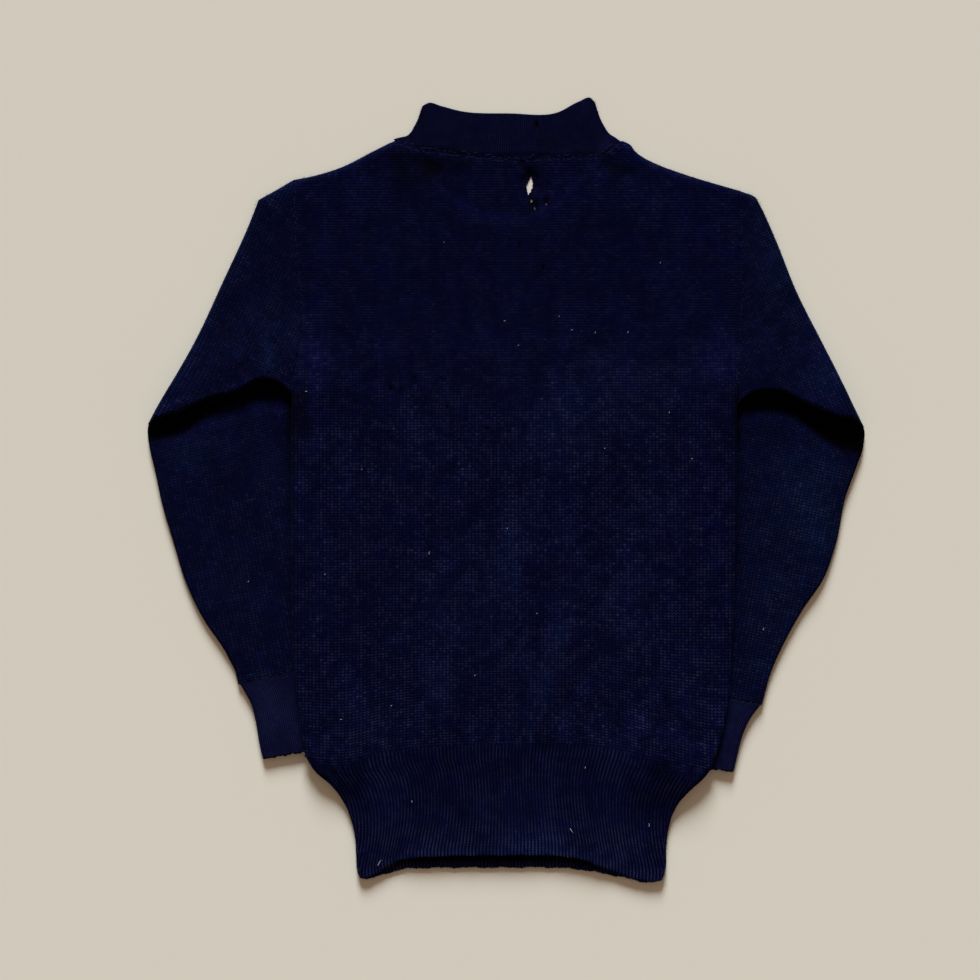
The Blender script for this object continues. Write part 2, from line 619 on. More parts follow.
def shell(cloth, plan_at, top_at, low_at, knit_at, fine, rough, fine_low=False, flip=False):
    """A closed piece: a fine face and a rough one behind it, joined round their rims."""
    top_steps, low_steps = (rough, fine) if fine_low else (fine, rough)
    made = []
    for steps, height in ((top_steps, top_at), (low_steps, low_at)):
        plan = plan_at(*steps)
        x, y = plan[..., 0], plan[..., 1]
        w, c = knit_at(x, y, np.broadcast_to(steps[0][None, :], x.shape))
        z = height(x, y, w)
        at = cloth.put(np.stack([x, y, z], 2), np.stack([w, c], 2)).reshape(x.shape)
        made.append((at, steps))
    (top, tu), (low, lu) = made
    cloth.net(top, back=flip)
    cloth.net(low, back=not flip)
    cloth.zip(*rim_of(top, *tu), *rim_of(low, *lu), back=flip)


def tube(cloth, back, front, back_z, front_z, ribs, turn_ribs, amount, rows_along, inner_rows,
         open_row=None, wall=RIB_WALL, sharp=2.5, rows_knit=None, crowd=0.0):
    """A ribbed tube pressed flat. back and front hold plan points, a row for each height."""
    rows, count = back.shape[:2]
    points, outward, rib = [], [], []

    def turn(side, start, stop, rib_from):
        step_in = 8 if side == 0 else -9
        away_ = back[:, side] - back[:, step_in]
        away_ = away_ / np.linalg.norm(away_, axis=1)[:, None]
        centre = (back_z[:, side] + front_z[:, side]) / 2
        radius = (back_z[:, side] - front_z[:, side]) / 2
        steps = 6 * turn_ribs
        for k in range(1, steps):
            angle = start + (stop - start) * k / steps
            c, s = math.cos(angle), math.sin(angle)
            points.append(np.concatenate(
                [back[:, side] + away_ * (radius * c)[:, None], (centre + radius * s)[:, None]], 1))
            outward.append(np.concatenate([away_ * c, np.full((rows, 1), s)], 1))
            rib.append(rib_from + turn_ribs * k / steps)

    def half(plan, z, sign, order, rib_at):
        for j in order:
            points.append(np.concatenate([plan[:, j], z[:, j, None]], 1))
            outward.append(np.broadcast_to([0.0, 0.0, sign], (rows, 3)))
            rib.append(rib_at(j / (count - 1)))

    half(back, back_z, 1, range(count), lambda u: ribs * u)
    turn(-1, math.pi / 2, -math.pi / 2, ribs)
    half(front, front_z, -1, reversed(range(count)), lambda u: ribs + turn_ribs + ribs * (1 - u))
    turn(0, -math.pi / 2, math.pi / 2, 2 * ribs + turn_ribs)
    points, outward, rib = np.array(points), np.array(outward), np.array(rib)
    total = 2 * ribs + 2 * turn_ribs
    # more ribs beside the sides toward the last row, where crowd is above 0
    middle = np.where(rib <= ribs + turn_ribs / 2, ribs / 2, 1.5 * ribs + turn_ribs)
    middle = np.where(rib > total - turn_ribs / 2, total + ribs / 2, middle)
    off = np.clip((rib - middle) / (ribs / 2), -1, 1)
    rib = rib[:, None] + (ribs / 2) * (off**3)[:, None] * (crowd * rows_knit / rows_knit.max())[None]
    lift = (wale_ridge(rib, sharp) - 0.7) * (
        amount(points[..., 0], points[..., 1]) if callable(amount) else amount)
    thin = np.ones(rows)
    if open_row is not None:
        thin[open_row] = 0.35
    knit = np.stack([np.broadcast_to(rib, points.shape[:2]),
                     np.broadcast_to(rows_knit[None], points.shape[:2])], 2)
    outer = points + outward * ((wall / 2 + lift) * thin)[..., None]
    inner = points - outward * ((wall / 2 + 0.7 * lift) * thin)[..., None]
    a = cloth.put(outer.transpose(1, 0, 2), knit.transpose(1, 0, 2)).reshape(rows, -1)
    keep = np.array(inner_rows)
    b = cloth.put(inner[:, keep].transpose(1, 0, 2), knit[:, keep].transpose(1, 0, 2))
    b = b.reshape(len(keep), -1)
    cloth.net(a, wrap=True, back=True)
    cloth.net(b, wrap=True)
    cloth.net(np.stack([b[0], a[0]]), wrap=True, back=True)
    cloth.net(np.stack([a[-1], b[-1]]), wrap=True, back=True)
    return total


# ---------------------------------------------------------------- materials
class Tree:
    """Short names for the nodes of a material."""

    def __init__(self, name):
        self.material = bpy.data.materials.new(name)
        self.material.use_nodes = True
        self.nodes = self.material.node_tree.nodes
        self.links = self.material.node_tree.links
        self.shader = self.nodes["Principled BSDF"]

    def feed(self, socket, value):
        if isinstance(value, bpy.types.NodeSocket):
            self.links.new(value, socket)
        else:
            socket.default_value = value

    def math(self, what, *values, clamp=False):
        node = self.nodes.new("ShaderNodeMath")
        node.operation = what
        node.use_clamp = clamp
        for socket, value in zip(node.inputs, values):
            self.feed(socket, value)
        return node.outputs[0]

    def ramp(self, value, low, high, to_low=0.0, to_high=1.0):
        node = self.nodes.new("ShaderNodeMapRange")
        node.interpolation_type = "SMOOTHSTEP"
        for socket, given in zip(node.inputs, (value, low, high, to_low, to_high)):
            self.feed(socket, given)
        return node.outputs[0]

    def mix(self, share, first, second, how="MIX"):
        node = self.nodes.new("ShaderNodeMix")
        node.data_type = "RGBA"
        node.blend_type = how
        self.feed(node.inputs[0], share)
        for place, value in ((6, first), (7, second)):
            self.feed(node.inputs[place], (*value, 1) if isinstance(value, tuple) else value)
        return node.outputs[2]

    def noise(self, scale, detail=3.0, rough=0.55, stretch=None):
        where = self.nodes.new("ShaderNodeTexCoord").outputs["Object"]
        if stretch:
            scaled = self.nodes.new("ShaderNodeMapping")
            scaled.inputs["Scale"].default_value = stretch
            self.links.new(where, scaled.inputs["Vector"])
            where = scaled.outputs["Vector"]
        node = self.nodes.new("ShaderNodeTexNoise")
        node.inputs["Scale"].default_value = scale
        node.inputs["Detail"].default_value = detail
        node.inputs["Roughness"].default_value = rough
        self.links.new(where, node.inputs["Vector"])
        return node.outputs["Fac"]

    def value_of(self, label):
        node = self.nodes.new("ShaderNodeAttribute")
        node.attribute_name = label
        return node.outputs["Fac"]


def knitted(name, colour, faded, tip, rib=False, tips=1.0, relief=0.45, gap=0.35, lean=0.5):
    """Navy wool with stitches: V shapes on wales, or rounded columns on ribs."""
    t = Tree(name)
    uv = t.nodes.new("ShaderNodeUVMap")
    uv.uv_map = "knit"
    split = t.nodes.new("ShaderNodeSeparateXYZ")
    t.links.new(uv.outputs[0], split.inputs[0])
    w, c = split.outputs[0], split.outputs[1]
    wander = t.math("MULTIPLY_ADD", t.noise(230, 2), 0.14 if rib else 0.30, -0.07 if rib else -0.15)
    w_here = t.math("MULTIPLY_ADD", wander, 0.5, w)
    c_here = t.math("ADD", c, wander)
    across = t.math("ABSOLUTE", t.math("MULTIPLY_ADD", t.math("FRACT", w_here), 2.0, -1.0))
    along = t.math("FRACT", t.math("MULTIPLY_ADD", across, -lean, c_here))
    yarn = t.math("MULTIPLY_ADD", along, 2.0, -1.0)
    yarn = t.math("SUBTRACT", 1.0, t.math("MULTIPLY", yarn, yarn))
    furrow = t.math("POWER", across, 2.0 if rib else 3.0)
    middle = t.ramp(across, 0.0, 0.3, 1.0 if rib else 0.9, 1.0)
    depth = -0.85 if rib else t.math("MULTIPLY_ADD", t.value_of("crisp"), -0.58, 0.06)
    height = t.math("MULTIPLY_ADD", furrow, depth, 1.0)
    lower = t.math("MULTIPLY", t.math("SUBTRACT", 1.0, yarn), 0.16 if rib else 0.66)
    height = t.math("MULTIPLY", t.math("SUBTRACT", height, lower, clamp=True), middle)

    fibre = t.noise(1300, 2, 0.6)
    strand = t.noise(420, 3, 0.7)
    broad = t.noise(11, 3, 0.5)
    patchy = t.noise(46, 3, 0.55)
    worn = t.noise(95, 2, 0.5)
    streak = t.noise(60, 2, 0.5, (1.0, 0.12, 1.0))
    lot = t.nodes.new("ShaderNodeTexWhiteNoise")
    lot.noise_dimensions = "1D"
    t.links.new(t.math("FLOOR", w_here), lot.inputs["W"])
    stitch = t.nodes.new("ShaderNodeTexWhiteNoise")
    stitch.noise_dimensions = "2D"
    cell = t.nodes.new("ShaderNodeCombineXYZ")
    t.links.new(t.math("FLOOR", w_here), cell.inputs[0])
    t.links.new(t.math("FLOOR", t.math("MULTIPLY_ADD", across, -lean, c_here)), cell.inputs[1])
    t.links.new(cell.outputs[0], stitch.inputs["Vector"])
    any_stitch = stitch.outputs["Value"]
    crisp = t.value_of("crisp")

    fade = t.math("ADD", t.value_of("faded"), t.ramp(broad, 0.5, 0.75, 0.0, 0.4), clamp=True)
    wool = t.mix(fade, colour, faded)
    shade = t.ramp(height, 0.0, 0.72, gap, 1.12)
    shade = t.math("MULTIPLY", shade, t.ramp(patchy, 0.3, 0.7, 0.84, 1.16))
    shade = t.math("MULTIPLY", shade, t.ramp(strand, 0.25, 0.75, 0.80, 1.2))
    shade = t.math("MULTIPLY", shade, t.ramp(streak, 0.3, 0.7, 0.94, 1.07))
    shade = t.math("MULTIPLY", shade, t.math("MULTIPLY_ADD", lot.outputs["Value"], 0.14, 0.93))
    shade = t.math("MULTIPLY", shade, t.math("MULTIPLY_ADD", any_stitch, 0.12 if rib else 0.3, 0.94 if rib else 0.85))
    lit = t.math("MULTIPLY", t.ramp(height, 0.72 if rib else 0.6, 0.98), t.ramp(any_stitch, 0.0, 1.0, 0.75 if rib else 0.3, 1.0))
    lit = t.math("MULTIPLY", lit, t.ramp(worn, 0.32, 0.68, 0.25, 1.3))
    bright = t.math("MULTIPLY", t.ramp(any_stitch, 0.965, 0.99, 0.0, 0.1 if rib else 0.32), t.ramp(height, 0.35, 0.8))
    bright = t.math("MULTIPLY", bright, t.ramp(patchy, 0.42, 0.6, 0.2, 2.0))
    lit = t.math("MULTIPLY", t.math("ADD", lit, bright), t.math("MULTIPLY", crisp, tips))
    lit = t.math("MULTIPLY", lit, t.math("MULTIPLY_ADD", fade, 0.5, 0.75))
    keep = t.math("MULTIPLY_ADD", t.value_of("dark"), -0.985, 1.0, clamp=True)
    colours = []
    for amount in (t.math("MULTIPLY", shade, keep), t.math("MULTIPLY", lit, keep)):
        grey = t.nodes.new("ShaderNodeCombineColor")
        for socket in grey.inputs:
            t.links.new(amount, socket)
        colours.append(grey.outputs[0])
    wool = t.mix(1.0, wool, colours[0], "MULTIPLY")
    ends = t.mix(1.0, colours[1], tip, "MULTIPLY")
    t.feed(t.shader.inputs["Base Color"], t.mix(1.0, wool, ends, "ADD"))

    t.feed(t.shader.inputs["Roughness"], 0.95)
    t.feed(t.shader.inputs["Specular IOR Level"], 0.02)
    t.feed(t.shader.inputs["Sheen Weight"], 0.012)
    t.feed(t.shader.inputs["Sheen Roughness"], 0.5)
    t.feed(t.shader.inputs["Sheen Tint"], (0.35, 0.38, 0.75, 1))
    bump = t.nodes.new("ShaderNodeBump")
    bump.inputs["Strength"].default_value = 1.0
    bump.inputs["Distance"].default_value = 0.001
    tall = t.math("MULTIPLY", height, relief)
    tall = t.math("ADD", tall, t.math("MULTIPLY", fibre, 0.06))
    tall = t.math("ADD", tall, t.math("MULTIPLY", strand, 0.10))
    t.links.new(tall, bump.inputs["Height"])
    t.links.new(bump.outputs[0], t.shader.inputs["Normal"])
    return t.material


def plain(name, colour, roughness=0.9, sheen=0.0):
    t = Tree(name)
    t.feed(t.shader.inputs["Base Color"], (*colour, 1))
    t.feed(t.shader.inputs["Roughness"], roughness)
    t.feed(t.shader.inputs["Specular IOR Level"], 0.1)
    t.feed(t.shader.inputs["Sheen Weight"], sheen)
    return t.material


NAVY = (0.0004, 0.0006, 0.0125)
NAVY_FADED = (0.0004, 0.0024, 0.0190)
TIP = (0.0118, 0.0118, 0.0225)
body_wool = knitted("body_wool", NAVY, NAVY_FADED, TIP, gap=0.32)
sleeve_wool = knitted("sleeve_wool", (0.0006, 0.0010, 0.0126), (0.0007, 0.0033, 0.0190), TIP, tips=0.62,
                      gap=0.48)
hem_wool = knitted("hem_wool", (0.0005, 0.0008, 0.0122), (0.0006, 0.0026, 0.0185), TIP, rib=True, tips=1.0,
                   lean=0.3, gap=0.22)
cuff_wool = knitted("cuff_wool", (0.0020, 0.0022, 0.0162), (0.0026, 0.0040, 0.0215), TIP, rib=True,
                    gap=0.74, tips=0.65, relief=0.25, lean=0.3)
collar_wool = knitted("collar_wool", (0.0008, 0.0010, 0.0108), (0.0010, 0.0020, 0.0150), TIP, rib=True,
                      tips=0.5, relief=0.25, gap=0.55, lean=0.3)

# ---------------------------------------------------------------- lines that several pieces share
side_left = dense(columns_of(BODY_SIDES, 1, 2))
side_right = dense(columns_of(BODY_SIDES, 3, 4))
shoulder_left = dense(columns_of(SHOULDER_LEFT, 1, 2), 60)
shoulder_right = dense(columns_of(SHOULDER_RIGHT, 1, 2), 80)
neck_points = columns_of(COLLAR_BACK, 1, 2)
neck_points[0], neck_points[-1] = SHOULDER_LEFT[-1][1:], SHOULDER_RIGHT[0][1:]
neck_line = dense(neck_points, 80)
rib_seam = dense(columns_of(RIB_SEAM, 1, 2))
armhole_left = side_left[side_left[:, 1] > 105]
armhole_right = side_right[side_right[:, 1] > 97]
low_left = side_left[side_left[:, 1] < 108]
low_right = side_right[side_right[:, 1] < 100]

# ---------------------------------------------------------------- back panel
body_high = np.concatenate([shoulder_left, neck_line[1:-1], shoulder_right])


def back_plan(us, vs):
    return lay(0, side_left, side_right, body_high, rib_seam, us, vs, (BODY_START, BODY_STOP))


def body_knit(x, y, u):
    low = np.interp(x, rib_seam[:, 0], rib_seam[:, 1])
    droop = (low + 250) * (1 - smooth((y - low) / 170))
    return (x - BODY_START) / WALE, (y - droop) / COURSE


def gathers(x, y):
    """Puckers where the panel is drawn in to the rib."""
    up = np.maximum(y - np.interp(x, rib_seam[:, 0], rib_seam[:, 1]), 0)
    wave = np.sin(x / 2.05 + 1.9 * np.sin(x / 23.0)) * (0.62 + 0.38 * np.sin(x / 37.0 + 1))
    wave = wave + 0.5 * np.sin(x / 4.7 + 2.1)
    return 0.45 * wave * np.exp(-up / 17.0)


def worn_through(x, y):
    """How thin the cloth has worn, 1 at the rims of the holes."""
    worn = np.zeros(np.shape(x))
    for outline, rim, reach in zip(HOLES, (1.0, 0.9, 0.9, 0.7), (7.5, 4.0, 4.0, 2.6)):
        worn = np.maximum(worn, smooth(1 - (away(x, y, outline + outline[:1]) - rim) / reach))
    return worn


def back_low(x, y, w):
    rise = np.maximum(creased(x, y, BODY_CREASES), 0)
    return (ride(x, y) + UPPER - sag(x, y) + rise) * (1 - worn_through(x, y)) + 0.12


back_edges = [
    (low_left, 3.2, 1.0), (low_right, 3.2, 1.0), (armhole_left, 2.2, 0.45),
    (armhole_right, 2.2, 0.45), (shoulder_left, 3.0, 0.8), (shoulder_right, 3.0, 0.8),
    (neck_line, 1.2, 0.1),
]


def back_top(x, y, w):
    kept = rounding(x, y, back_edges)
    crease = creased(x, y, BODY_CREASES)
    full = WALL + np.minimum(crease, 0) + rolling(x, y) + gathers(x, y)
    full = full + WALE_RIDGE * (wale_ridge(w) - 0.7)
    return back_low(x, y, w) + (np.maximum(full, 1.2) * (1 - 0.85 * worn_through(x, y))) * kept


back = Cloth()
fine = (np.linspace(0, 1, BODY_WALES * 4 + 1), np.linspace(0, 1, 151))
rough = (np.linspace(0, 1, 61), np.linspace(0, 1, 81))
shell(back, back_plan, back_top, back_low, body_knit, fine, rough)


def back_traits(x, y, z):
    up = y - np.interp(x, rib_seam[:, 0], rib_seam[:, 1])
    bright = np.clip(gathers(x, y) / 0.45, 0, 1) * np.exp(-((up - 12) / 14) ** 2)
    edge = np.minimum(x - np.interp(y, side_left[:, 1], side_left[:, 0]),
                      np.interp(y, side_right[:, 1], side_right[:, 0]) - x)
    deep = np.exp(-((edge / 4.0) ** 2)) * (0.35 * smooth((y + 200) / 120) + 0.35 * smooth((y - 20) / 50))
    deep = deep * smooth((104 - y) / 12)
    pits = np.zeros(x.shape)
    for px, py, half_x, half_y in NIPS:
        pits = np.maximum(pits, np.exp(-(((x - px) / (1.9 * half_x)) ** 2 + ((y - py) / (1.9 * half_y)) ** 2)))
    crisp = 0.42 + 0.6 * smooth((170 - y) / 150) + 0.1 * smooth((-60 - x) / 80) * smooth((120 - y) / 80)
    return {"faded": 0.8 * bright, "dark": np.maximum(deep, 0.9 * pits), "crisp": crisp + 0.5 * bright}


back_cloth = back.build("back_panel_cloth", body_wool, traits=back_traits)
back_area = area_of(back_plan(*rough))

# ---------------------------------------------------------------- moth holes in the back
cutter = Cloth()
for n, outline in enumerate(HOLES):
    ring = np.array(outline)[::-1]
    up = cutter.put(np.column_stack([ring, np.full(len(ring), 14.0)]), np.zeros((len(ring), 2)))
    down = cutter.put(np.column_stack([ring, np.full(len(ring), -3.0)]), np.zeros((len(ring), 2)))
    cutter.faces.append(up[::-1].tolist())
    cutter.faces.append(down.tolist())
    for i in range(len(ring)):
        j = (i + 1) % len(ring)
        cutter.faces.append([int(up[i]), int(up[j]), int(down[j]), int(down[i])])
for n, (x, y, half_x, half_y) in enumerate(NIPS):
    angle = -np.arange(9) * 2 * math.pi / 9
    wobble = 1 + 0.28 * np.sin(angle * 3 + n) + 0.15 * np.sin(angle * 5 + 2 * n)
    ring = np.stack([x + half_x * wobble * np.cos(angle), y + half_y * wobble * np.sin(angle)], 1)
    base = float(back_low(np.array([x]), np.array([y]), None)[0])
    up = cutter.put(np.column_stack([ring, np.full(9, 16.0)]), np.zeros((9, 2)))
    down = cutter.put(np.column_stack([ring, np.full(9, base - 0.2)]), np.zeros((9, 2)))
    cutter.faces.append(up[::-1].tolist())
    cutter.faces.append(down.tolist())
    for i in range(9):
        j = (i + 1) % 9
        cutter.faces.append([int(up[i]), int(up[j]), int(down[j]), int(down[i])])
cutting = cutter.build("moth_cutter", body_wool)
bite = back_cloth.modifiers.new("holes", "BOOLEAN")
bite.operation = "DIFFERENCE"
bite.solver = "FAST"
bite.object = cutting
bpy.context.view_layer.update()
graph = bpy.context.evaluated_depsgraph_get()
eaten = bpy.data.meshes.new_from_object(back_cloth.evaluated_get(graph), depsgraph=graph)
back_cloth.modifiers.clear()
back_cloth.data = eaten
bpy.data.objects.remove(cutting, do_unlink=True)

# ---------------------------------------------------------------- front panel, underneath
neck_share = (0.232, 0.727)
n_neck, n_left, n_right = 60, 26, 30
front_u = np.concatenate([
    np.linspace(0, neck_share[0], n_left)[:-1],
    np.linspace(*neck_share, n_neck + 1),
    np.linspace(neck_share[1], 1, n_right)[1:],
])
front_v = np.linspace(0, 1, 96)


def front_plan(us, vs):
    inside = (us >= neck_share[0]) & (us <= neck_share[1])
    left, right = us < neck_share[0], us > neck_share[1]
    high = np.concatenate([
        curve(columns_of(SHOULDER_LEFT, 1, 2), us[left] / neck_share[0]),
        front_neck((us[inside] - neck_share[0]) / (neck_share[1] - neck_share[0])),
        curve(columns_of(SHOULDER_RIGHT, 1, 2), (us[right] - neck_share[1]) / (1 - neck_share[1])),
    ])
    return patch(curve(columns_of(RIB_SEAM, 1, 2), us), high,
                 curve(columns_of(BODY_SIDES, 1, 2), vs), curve(columns_of(BODY_SIDES, 3, 4), vs), us, vs)


def front_knit(x, y, u):
    left = np.interp(y, side_left[:, 1], side_left[:, 0])
    right = np.interp(y, side_right[:, 1], side_right[:, 0])
    return BODY_WALES * (x - left) / (right - left), y / COURSE + 0.4


front_edges = [
    (low_left, 3.2, 1.0), (low_right, 3.2, 1.0), (armhole_left, 2.2, 0.45),
    (armhole_right, 2.2, 0.45), (shoulder_left, 2.4, 0.6), (shoulder_right, 2.4, 0.6),
    (front_neck(np.linspace(0, 1, 60)), 2.0, 0.5), (rib_seam, 2.0, 0.4),
]


def front_top(x, y, w):
    return ride(x, y) + WALL + 0.1 * rolling(x, y)


def front_low(x, y, w):
    kept = rounding(x, y, front_edges)
    lifted = np.minimum(ride(x, y) / 1.5, 1.0)
    uneven = 0.5 * lifted * np.maximum(rolling(x + 31, y - 17), 0)
    return ride(x, y) + uneven + WALL * (1 - kept)


front = Cloth()
shell(front, front_plan, front_top, front_low, front_knit, (front_u, front_v),
      (front_u[::3] if (len(front_u) - 1) % 3 == 0 else np.append(front_u[::3], 1.0), front_v[::5]),
      fine_low=True)
front_cloth = front.build("front_panel_cloth", body_wool)
front_area = area_of(front_plan(front_u, front_v))


# ---------------------------------------------------------------- sleeves
def fold_y(table, x):
    rows = columns_of(table, 1, 2)
    order = np.argsort(rows[:, 0])
    return float(np.interp(x, rows[order, 0], rows[order, 1]))


def fold_of(table):
    return dense(columns_of(table, 1, 2, 3))


def make_sleeve(name, side):
    upper = columns_of(UPPER_LEFT if side < 0 else UPPER_RIGHT, 1, 2)
    fold = fold_of(FOLD_LEFT if side < 0 else FOLD_RIGHT)
    forearm = columns_of(FOREARM_LEFT if side < 0 else FOREARM_RIGHT, 1, 2)
    inner = columns_of(SLEEVE_INNER, *((1, 2) if side < 0 else (3, 4)))
    armhole = (armhole_left if side < 0 else armhole_right)[::-1]
    body_edge = side_left if side < 0 else side_right
    armpit = armhole[-1]
    outline = dense(upper, 200)
    reach = np.abs(fold[:, 0] - fold[0, 0]) / abs(fold[-1, 0] - fold[0, 0])

    def fold_height(x):
        order = np.argsort(fold[:, 0])
        return np.interp(x, fold[order, 0], fold[order, 2])

    def above_fold(x, y):
        """How far a point is past the pleat's edge, up the sleeve."""
        order = np.argsort(fold[:, 0])
        line = np.interp(x, fold[order, 0], fold[order, 1])
        return (y - line) * 0.95

    cloth = Cloth()
    # the upper arm, from the armhole to the pleat's edge
    lean = 26.0 * side
    turn_at = 2 if side < 0 else 2
    cap = dense(upper[: turn_at + 1], 30)
    outer = dense(upper[turn_at:], 120)
    slack = np.array([[0.3 * side, 0.0]])
    high = np.concatenate([cap[::-1], (armhole - slack)[1:]])
    into = np.array([[armpit[0] - 0.4 * side, armpit[1]]])
    inner_edge = np.concatenate([into + [0, 0], into + [0, -0.01]])
    pull = np.array([math.sin(math.radians(lean)) * -1, math.cos(math.radians(lean))])
    inner_edge = np.array([into[0] + pull * 60.0, into[0], into[0] + [-1.0 * side, -40.0]])
    low = fold[:, :2]
    left, right = (outer, inner_edge) if side < 0 else (inner_edge, outer)

    def upper_plan(us, vs):
        return lay(lean, left, right, high, low, us, vs)

    wales = 30
    c, s = math.cos(math.radians(lean)), math.sin(math.radians(lean))

    def upper_knit(x, y, u):
        return wales * u + 400, (-x * s + y * c) / COURSE

    upper_edges = [(outer, 3.4, 1.0), (cap, 3.0, 0.9), (low, 2.3, 1.0), (armhole, 2.6, 0.4)]

    def slab(x, y):
        over = above_fold(x, y)
        tall = fold_height(x)
        start = PAIR + ride(x, y) * smooth(1 - np.abs(x - armpit[0]) / 16)
        ramp = 1 - smooth(np.maximum(over - 4, 0) / 84)
        top = start + (tall - start) * ramp
        low_z = (7.0 - 3.6 * (1 - smooth(away(x, y, outer) / 9))) * (1 - smooth((over - 25) / 10))
        return top, low_z

    def upper_top(x, y, w):
        kept = rounding(x, y, upper_edges)
        top, low_z = slab(x, y)
        top = top + creased(x, y, SLEEVE_CREASES) + rolling(x * 1.2, y) + WALE_RIDGE * (wale_ridge(w) - 0.7)
        middle = (top + low_z) / 2
        return middle + (top - middle) * kept

    def upper_low(x, y, w):
        kept = rounding(x, y, upper_edges)
        top, low_z = slab(x, y)
        middle = (top + low_z) / 2
        return middle - (middle - low_z) * kept

    def upper_slit_top(x, y, w):
        return slab(x, y)[0] - WALL

    def upper_slit_low(x, y, w):
        return slab(x, y)[0] - WALL - 0.5

    fine_u = np.linspace(0, 1, wales * 4 + 1)
    shell(cloth, upper_plan, upper_top, upper_low, upper_knit, (fine_u, np.linspace(0, 1, 91)),
          (np.linspace(0, 1, 31), np.linspace(0, 1, 41)))
    shell(cloth, upper_plan, upper_slit_top, upper_slit_low, upper_knit,
          (np.linspace(0.06, 0.94, 9), np.linspace(0.05, 0.95, 9)),
          (np.linspace(0.06, 0.94, 9), np.linspace(0.05, 0.95, 9)), flip=True)
    area = area_of(upper_plan(np.linspace(0, 1, 31), np.linspace(0, 1, 41)))

    # the forearm, from under the pleat to the cuff
    lean_low = -12.0 * side
    c2, s2 = math.cos(math.radians(lean_low)), math.sin(math.radians(lean_low))
    outer_low = dense(forearm, 200)
    inner_low = dense(inner, 80)
    hidden = fold[:, :2] + np.array([0.0, 1.0]) * (19.0 * np.clip(np.sin(math.pi * (0.12 + 0.62 * reach)), 0, 1))[:, None]
    keep = (side * hidden[:, 0] < 331) & (side * hidden[:, 0] > 212)
    top_line = np.concatenate([forearm[:1], hidden[keep], inner[:1]])
    wrist = np.stack([forearm[-1], inner[-1]])
    left2, right2 = (outer_low, inner_low) if side < 0 else (inner_low, outer_low)

    def low_plan(us, vs):
        low_line, high_line = wrist, top_line
        left_ends = curve(left2[::-1] if left2[0, 1] > left2[-1, 1] else left2, vs)
        right_ends = curve(right2[::-1] if right2[0, 1] > right2[-1, 1] else right2, vs)
        order = np.argsort(high_line[:, 0])
        high_at = curve(high_line[order], us)
        order = np.argsort(low_line[:, 0])
        low_at = curve(low_line[order], us)
        left_ends[0], left_ends[-1] = low_at[0], high_at[0]
        right_ends[0], right_ends[-1] = low_at[-1], high_at[-1]
        return patch(low_at, high_at, left_ends, right_ends, us, vs)

    def low_knit(x, y, u):
        return (x * c2 + y * s2) / (WALE + 0.1) + 700, (-x * s2 + y * c2) / (COURSE + 0.05)

    visible = outer_low[outer_low[:, 1] < 62]
    low_edges = [(visible, 3.4, 1.0), (outer_low, 3.0, 0.9), (wrist, 2.6, 0.35), (inner_low, 3.0, 1.0)]

    def low_top(x, y, w):
        kept = rounding(x, y, low_edges)
        over = above_fold(x, y)
        dip = 3.7 * smooth((over + 32) / 24) * smooth(away(x, y, outer_low) / 8)
        edge = np.interp(y, body_edge[:, 1], body_edge[:, 0])
        beside_body = side * (x - edge)
        dip = np.maximum(dip, 2.0 * np.exp(-((beside_body / 9.0) ** 2)) * smooth((y + 150) / 160))
        top = PAIR - dip
        bumps = creased(x, y, SLEEVE_CREASES) + rolling(x, y * 1.2) * 0.8
        bumps = bumps * smooth((beside_body + 4) / 8) + WALE_RIDGE * (wale_ridge(w, 2.0) - 0.7)
        top = np.where(beside_body > -3, top + bumps, np.minimum(top, PAIR) - 0.3)
        return top / 2 + top / 2 * kept

    def low_low(x, y, w):
        kept = rounding(x, y, low_edges)
        return (PAIR / 2) * (1 - kept)

    def low_slit_top(x, y, w):
        return np.full(np.shape(x), 2.1)

    def low_slit_low(x, y, w):
        return np.full(np.shape(x), 1.7)

    shell(cloth, low_plan, low_top, low_low, low_knit, (np.linspace(0, 1, 221), np.linspace(0, 1, 131)),
          (np.linspace(0, 1, 51), np.linspace(0, 1, 71)))
    shell(cloth, low_plan, low_slit_top, low_slit_low, low_knit,
          (np.linspace(0.04, 0.96, 9), np.linspace(0.03, 0.97, 9)),
          (np.linspace(0.04, 0.96, 9), np.linspace(0.03, 0.97, 9)), flip=True)
    area += area_of(low_plan(np.linspace(0, 1, 51), np.linspace(0, 1, 71)))
    shade_line = columns_of(SHADE_LEFT if side < 0 else SHADE_RIGHT, 1, 2)

    def traits(x, y, z):
        limit = np.interp(x, shade_line[:, 0], shade_line[:, 1])
        order = np.argsort(fold[:, 0])
        edge_y = np.interp(x, fold[order, 0], fold[order, 1])
        inside = smooth((z - 0.9) / 0.9) * (z < 7.6)
        deep = smooth((y - limit + 7) / 11) * (y < edge_y + 1.5) * inside
        beside_body = side * (x - np.interp(y, body_edge[:, 1], body_edge[:, 0]))
        ditch = np.exp(-((np.maximum(beside_body, 0) / 6.0) ** 2)) * inside * (y < edge_y)
        ditch = ditch * (0.35 * smooth((y + 170) / 120) + 0.5 * smooth((y - 20) / 50))
        rim = np.exp(-((away(x, y, outline if side < 0 else outline) / 9.0) ** 2))
        crisp = 0.7 + 0.5 * smooth((40 - y) / 90)
        near_wrist = np.exp(-(((away(x, y, wrist) - 3.6) / 2.2) ** 2))
        dull = 0.11 * smooth((y - 96) / 24) * (1 - rim)
        return {"dark": np.maximum(np.maximum(0.985 * deep, ditch), dull),
                "crisp": crisp + 0.7 * rim + 2.6 * near_wrist,
                "faded": (0.5 if side < 0 else 0.2) * rim + 0.9 * near_wrist}

    return cloth.build(name, sleeve_wool, traits=traits), 2 * area, low_top, upper_top


